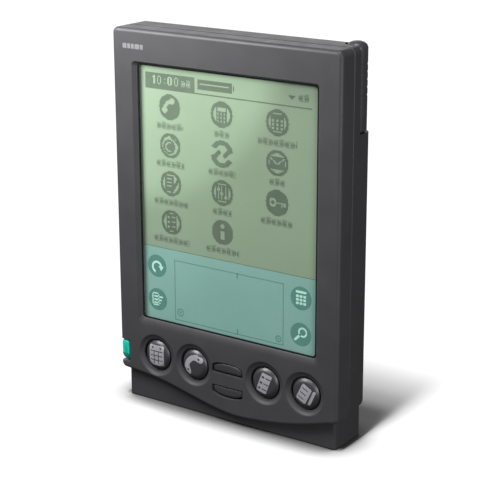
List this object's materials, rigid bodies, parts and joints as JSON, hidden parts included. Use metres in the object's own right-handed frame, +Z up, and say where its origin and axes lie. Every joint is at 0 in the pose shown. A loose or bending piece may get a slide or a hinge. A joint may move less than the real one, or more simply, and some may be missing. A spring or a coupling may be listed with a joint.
{
  "type": "personal digital assistant",
  "caption": "Pocket handheld organiser with a touch screen in a dark case, round push buttons below it, a stylus in the right side and doors for cells and memory in the back.",
  "frame": {"origin": "centre of the footprint, on the surface that the foot stands on", "axes": "+Z up, along the height; the screen faces -Y; +X is to the right of someone looking at the screen"},
  "size_m": [0.081, 0.017, 0.1198],
  "materials": {
    "case_front": "fine matt texture",
    "case_rear": "fine matt texture",
    "button": "satin",
    "power_green": "satin",
    "touch_glass": "clear, slightly hazy",
    "lcd": "satin polariser film",
    "teal_sheet": "printed film",
    "foam": "matt",
    "steel": "plain",
    "board": "solder resist",
    "chip": "matt",
    "keypad": "matt",
    "flex": "amber film",
    "glow": "matt",
    "cell_wrap": "printed sleeve",
    "brass": "plain",
    "label": "satin",
    "stylus_tip": "smooth"
  },
  "bodies": {
    "case": {"front_case": "case_front", "rear_case": "case_rear", "window_gasket": "foam", "touch_panel": "touch_glass", "lcd_cell": "lcd", "writing_area_sheet": "teal_sheet", "backlight_sheet": "glow", "display_frame": "steel", "display_ribbon": "flex", "main_board": "board", "processor_chip": "chip", "backup_capacitor": "steel", "crystal_can": "steel", "memory_socket": "chip", "memory_card": "board", "memory_chip_1": "chip", "memory_chip_2": "chip", "speaker_disc": "brass", "keypad_sheet": "keypad", "contrast_pot": "steel", "battery_lower": "cell_wrap", "battery_upper": "cell_wrap", "battery_spring_lower": "steel", "battery_spring_upper": "steel", "contact_minus": "steel", "contact_plus": "steel", "contact_bridge": "steel", "dock_connector": "chip", "dock_contacts": "brass", "reset_switch": "chip", "case_screw_1": "steel", "case_screw_2": "steel", "case_screw_3": "steel", "case_screw_4": "steel", "rear_label": "label"},
    "date_key": {"date_button": "button"},
    "contacts_key": {"contacts_button": "button"},
    "tasks_key": {"tasks_button": "button"},
    "notes_key": {"notes_button": "button"},
    "scroll_up_key": {"scroll_up_button": "button"},
    "scroll_down_key": {"scroll_down_button": "button"},
    "power_key": {"power_button": "power_green"},
    "contrast_dial": {"contrast_wheel": "button"},
    "stylus": {"stylus_head": "button", "stylus_barrel": "button", "stylus_tip": "stylus_tip"},
    "memory_cover": {"memory_door": "case_rear"},
    "battery_cover": {"battery_door": "case_rear"},
    "reset_key": {"reset_plunger": "button"}
  },
  "joints": [
    {"name": "date_press", "type": "slide", "parent": "case", "child": "date_key", "axis": [0, 1, 0], "range_m": [0, 0.0007], "stiffness_N_per_m": 900},
    {"name": "contacts_press", "type": "slide", "parent": "case", "child": "contacts_key", "axis": [0, 1, 0], "range_m": [0, 0.0007], "stiffness_N_per_m": 900},
    {"name": "tasks_press", "type": "slide", "parent": "case", "child": "tasks_key", "axis": [0, 1, 0], "range_m": [0, 0.0007], "stiffness_N_per_m": 900},
    {"name": "notes_press", "type": "slide", "parent": "case", "child": "notes_key", "axis": [0, 1, 0], "range_m": [0, 0.0007], "stiffness_N_per_m": 900},
    {"name": "scroll_up_press", "type": "slide", "parent": "case", "child": "scroll_up_key", "axis": [0, 1, 0], "range_m": [0, 0.0007], "stiffness_N_per_m": 900},
    {"name": "scroll_down_press", "type": "slide", "parent": "case", "child": "scroll_down_key", "axis": [0, 1, 0], "range_m": [0, 0.0007], "stiffness_N_per_m": 900},
    {"name": "power_press", "type": "slide", "parent": "case", "child": "power_key", "axis": [0, 1, 0], "range_m": [0, 0.0007], "stiffness_N_per_m": 900},
    {"name": "reset_press", "type": "slide", "parent": "case", "child": "reset_key", "axis": [0, -1, 0], "range_m": [0, 0.0003], "stiffness_N_per_m": 900},
    {"name": "contrast_turn", "type": "hinge", "parent": "case", "child": "contrast_dial", "pos_m": [-0.0342, 0.002, 0.084], "axis": [0, 1, 0], "range_deg": [-130, 130]},
    {"name": "stylus_slide", "type": "slide", "parent": "case", "child": "stylus", "axis": [0, 0, 1], "range_m": [0, 0.103]},
    {"name": "memory_door_slide", "type": "slide", "parent": "case", "child": "memory_cover", "axis": [0, 0, 1], "range_m": [0, 0.034]},
    {"name": "battery_door_tilt", "type": "hinge", "parent": "case", "child": "battery_cover", "pos_m": [-0.003, 0.0085, 0.0147], "axis": [-1, 0, 0], "range_deg": [0, 80]}
  ]
}
